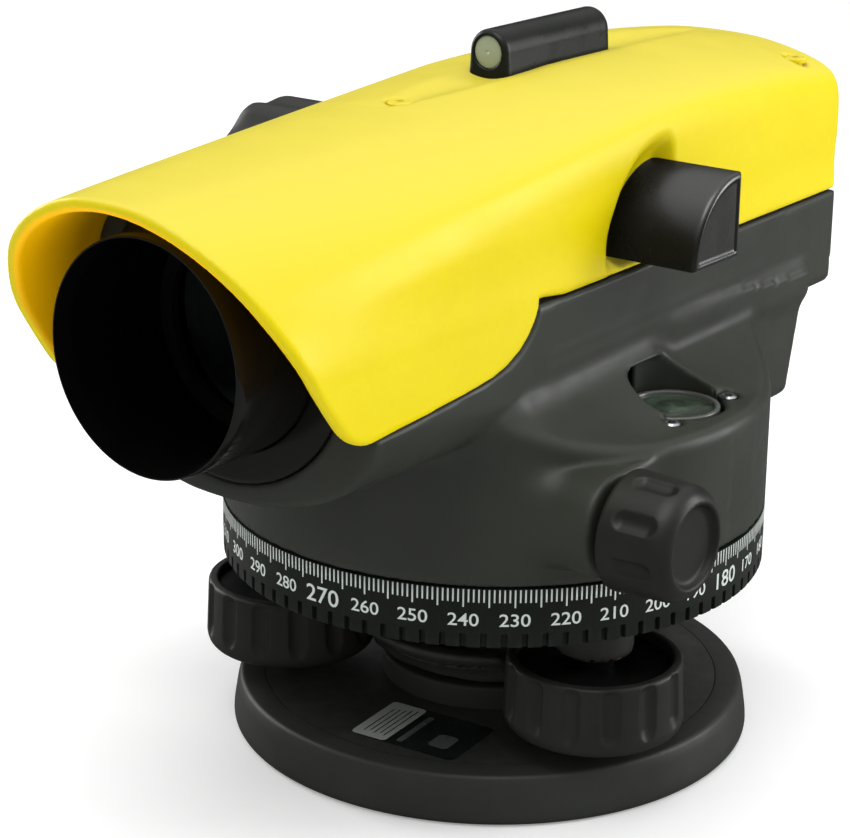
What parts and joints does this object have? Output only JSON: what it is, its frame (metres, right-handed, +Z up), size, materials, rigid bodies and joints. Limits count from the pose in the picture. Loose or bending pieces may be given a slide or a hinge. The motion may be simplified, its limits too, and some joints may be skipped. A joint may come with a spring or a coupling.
{
  "type": "automatic level",
  "caption": "Automatic surveying level with hooded telescope, graduated horizontal circle, slow-motion drive, circular level and three-screw levelling base.",
  "frame": {"origin": "centre of the base plate's underside, on the vertical axis and the tripod thread's mouth", "axes": "+Z up along the vertical axis, -Y along the line of sight out of the objective, +X towards the circular level"},
  "size_m": [0.124, 0.1958, 0.1304],
  "materials": {
    "base_coating": "fine textured coating",
    "black_sheet": "matt",
    "blackened_steel": "blackened",
    "label_foil": "satin foil",
    "steel": "ground",
    "knob_rubber": "soft-touch",
    "head_coating": "fine textured coating",
    "brass": "machined",
    "circle_black": "satin",
    "nylon": "natural",
    "housing_coating": "fine textured coating",
    "yellow_cover": "satin moulded",
    "gloss_black": "glossy",
    "matt_black": "matt anodised",
    "coated_glass": "coated",
    "aluminium": "machined",
    "soft_rubber": "matt",
    "vial_glass": "clear",
    "mirror": "polished",
    "sight_plastic": "satin"
  },
  "bodies": {
    "base": {"base_plate": "base_coating", "spring_plate": "black_sheet", "spring_plate_screws": "blackened_steel", "base_label": "label_foil"},
    "levelling_head": {"levelling_head": "head_coating", "foot_screw_bushes": "brass", "axis_bush": "brass", "circle_friction_ring": "nylon"},
    "foot_screw_right": {"foot_stem_right": "blackened_steel", "foot_knob_right": "knob_rubber"},
    "foot_screw_left": {"foot_stem_left": "blackened_steel", "foot_knob_left": "knob_rubber"},
    "foot_screw_rear": {"foot_stem_rear": "blackened_steel", "foot_knob_rear": "knob_rubber"},
    "horizontal_circle": {"horizontal_circle": "circle_black"},
    "worm_wheel": {"worm_wheel": "brass", "clutch_washer": "blackened_steel"},
    "slow_motion_shaft": {"worm_shaft": "steel", "drive_knob_right": "knob_rubber", "drive_knob_left": "knob_rubber"},
    "focus_shaft": {"focus_pinion_shaft": "steel", "focus_knob": "knob_rubber"},
    "focus_carriage": {"focus_carriage": "matt_black", "focusing_lens": "coated_glass", "focus_rack": "brass"},
    "pendulum": {"pendulum": "brass", "pendulum_prism": "coated_glass", "suspension_tapes": "steel"},
    "eyepiece_ring": {"eyepiece_ring": "knob_rubber", "eye_cup": "soft_rubber"},
    "eyepiece_cell": {"eyepiece_cell": "matt_black", "field_lens": "coated_glass", "eye_lens": "coated_glass"},
    "alidade": {"drive_bushes": "brass", "main_housing": "housing_coating", "top_cover": "yellow_cover", "cover_screws": "yellow_cover", "spindle": "steel", "bottom_cover": "black_sheet", "housing_screws": "blackened_steel", "objective_tube": "gloss_black", "objective_collar": "gloss_black", "objective_retaining_ring": "matt_black", "objective_crown_lens": "coated_glass", "objective_flint_lens": "coated_glass", "focus_guide_tube": "aluminium", "focus_gland": "matt_black", "compensator_frame": "aluminium", "fixed_prisms": "coated_glass", "damper_magnets": "steel", "reticle_mount": "matt_black", "reticle_glass": "coated_glass", "eyepiece_tube": "matt_black", "circular_level_housing": "steel", "circular_level_vial": "vial_glass", "circular_level_screws": "blackened_steel", "mirror_housing": "gloss_black", "mirror_glass": "mirror", "sight_body": "sight_plastic", "sight_windows": "vial_glass"}
  },
  "joints": [
    {"name": "head_tilt", "type": "hinge", "parent": "base", "child": "levelling_head", "pos_m": [0.00145, -0.01879, 0.0056], "axis": [0.9971, 0.0767, 0], "range_deg": [-0.57, 1.14]},
    {"name": "foot_screw_rear_turn", "type": "hinge", "parent": "base", "child": "foot_screw_rear", "pos_m": [-0.00289, 0.03759, 0.0056], "axis": [0, 0, 1], "range_deg": [-560, 285]},
    {"name": "foot_screw_right_turn", "type": "hinge", "parent": "levelling_head", "child": "foot_screw_right", "pos_m": [0.034, -0.01629, 0.0056], "axis": [0, 0, 1], "range_deg": [-540, 270]},
    {"name": "foot_screw_left_turn", "type": "hinge", "parent": "levelling_head", "child": "foot_screw_left", "pos_m": [-0.03111, -0.0213, 0.0056], "axis": [0, 0, 1], "range_deg": [-540, 270]},
    {"name": "circle_turn", "type": "hinge", "parent": "levelling_head", "child": "horizontal_circle", "pos_m": [0, 0, 0.0396], "axis": [0, 0, 1], "continuous": true},
    {"name": "clutch_slip", "type": "hinge", "parent": "levelling_head", "child": "worm_wheel", "pos_m": [0, 0, 0.0575], "axis": [0, 0, 1], "continuous": true},
    {"name": "slow_motion", "type": "hinge", "parent": "worm_wheel", "child": "alidade", "pos_m": [0, 0, 0.0575], "axis": [0, 0, 1], "continuous": true},
    {"name": "drive_knob_turn", "type": "hinge", "parent": "alidade", "child": "slow_motion_shaft", "pos_m": [0, -0.0305, 0.0575], "axis": [1, 0, 0], "continuous": true},
    {"name": "focus_knob_turn", "type": "hinge", "parent": "alidade", "child": "focus_shaft", "pos_m": [0, 0.002, 0.095], "axis": [1, 0, 0], "range_deg": [-245, 245]},
    {"name": "focus_slide", "type": "slide", "parent": "alidade", "child": "focus_carriage", "axis": [0, 1, 0], "range_m": [-0.0125, 0.0125]},
    {"name": "pendulum_swing", "type": "hinge", "parent": "alidade", "child": "pendulum", "pos_m": [0, 0.028, 0.1085], "axis": [1, 0, 0], "range_deg": [-0.25, 0.25]},
    {"name": "eyepiece_ring_turn", "type": "hinge", "parent": "alidade", "child": "eyepiece_ring", "pos_m": [0, 0.085, 0.0921], "axis": [0, 1, 0], "range_deg": [-280, 280]},
    {"name": "eyepiece_cell_slide", "type": "slide", "parent": "alidade", "child": "eyepiece_cell", "axis": [0, 1, 0], "range_m": [-0.0015, 0.0015]}
  ],
  "couplings": [
    {"joint": "foot_screw_rear_turn", "follows": "head_tilt", "ratio": -473.75},
    {"joint": "drive_knob_turn", "follows": "slow_motion", "ratio": 60},
    {"joint": "focus_knob_turn", "follows": "focus_slide", "rad_per_m": 333.33},
    {"joint": "eyepiece_ring_turn", "follows": "eyepiece_cell_slide", "rad_per_m": 3141.6}
  ]
}
